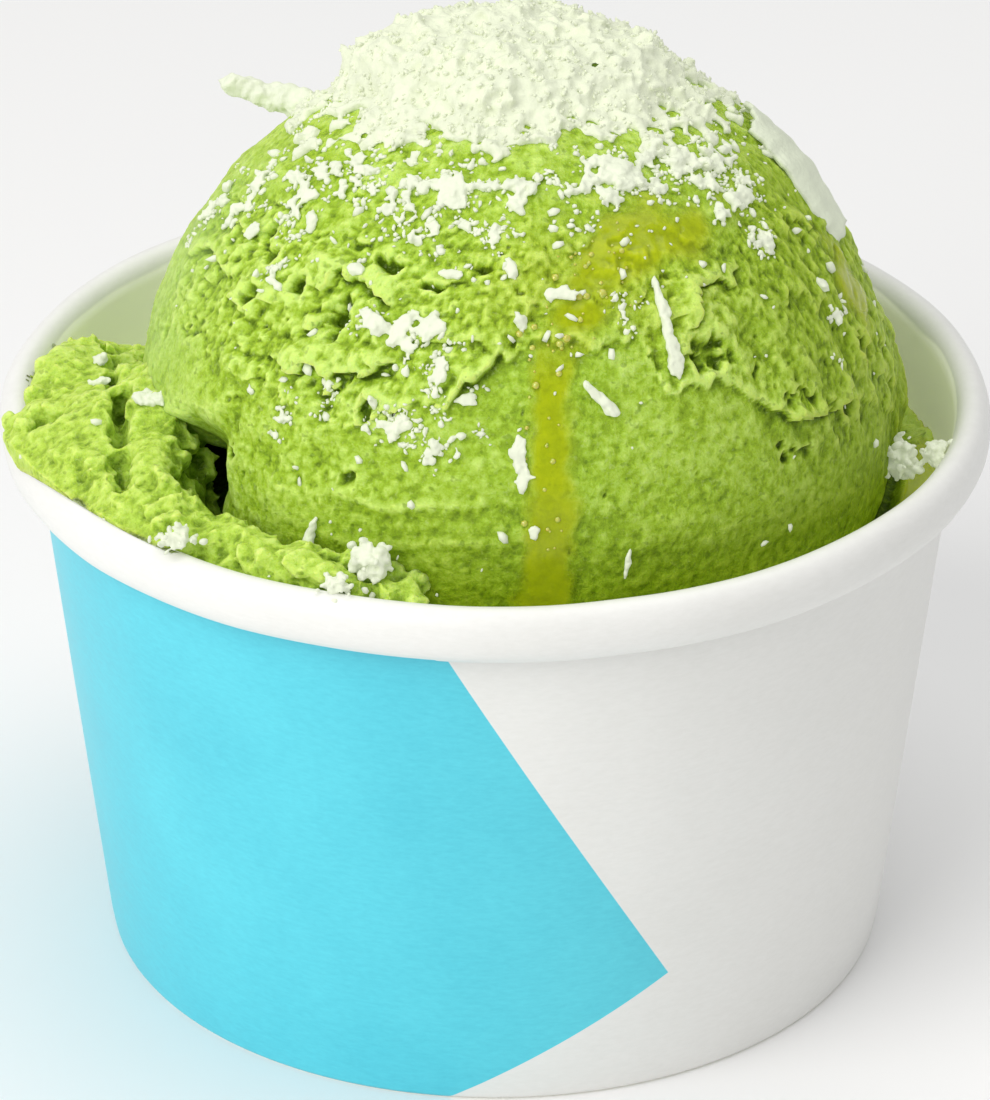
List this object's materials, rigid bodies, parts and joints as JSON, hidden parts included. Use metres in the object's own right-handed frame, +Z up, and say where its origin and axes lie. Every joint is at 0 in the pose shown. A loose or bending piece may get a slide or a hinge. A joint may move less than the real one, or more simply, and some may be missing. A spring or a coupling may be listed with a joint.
{
  "type": "gelato cup",
  "caption": "Paper cup filled with a round scoop of green gelato that domes over its rolled rim, with a ragged lump beside it and grated topping on its crown.",
  "frame": {"origin": "middle of the underside of the foot, where the cup stands", "axes": "+Z up along the cup's axis; -Y is the front, the side with the edge of the blue field; +X is to the right as seen from the front"},
  "size_m": [0.09, 0.09, 0.0899],
  "materials": {
    "paper": "satin coated cup paper, white with a bright blue field",
    "base_paper": "plain white cup paper",
    "gelato": "soft, finely grained frozen gelato with a torn band and thin oil runs",
    "lump_gelato": "crumbly frozen gelato",
    "topping": "dry, finely grated white topping",
    "shaving": "thin, slightly translucent shaving",
    "stick": "dry white stick of the topping"
  },
  "bodies": {
    "root": {"cup_wall": "paper", "cup_base": "base_paper", "gelato_scoop": "gelato", "gelato_lump": "lump_gelato", "grated_heap": "topping", "large_shaving": "shaving", "topping_stick": "stick"}
  },
  "joints": []
}
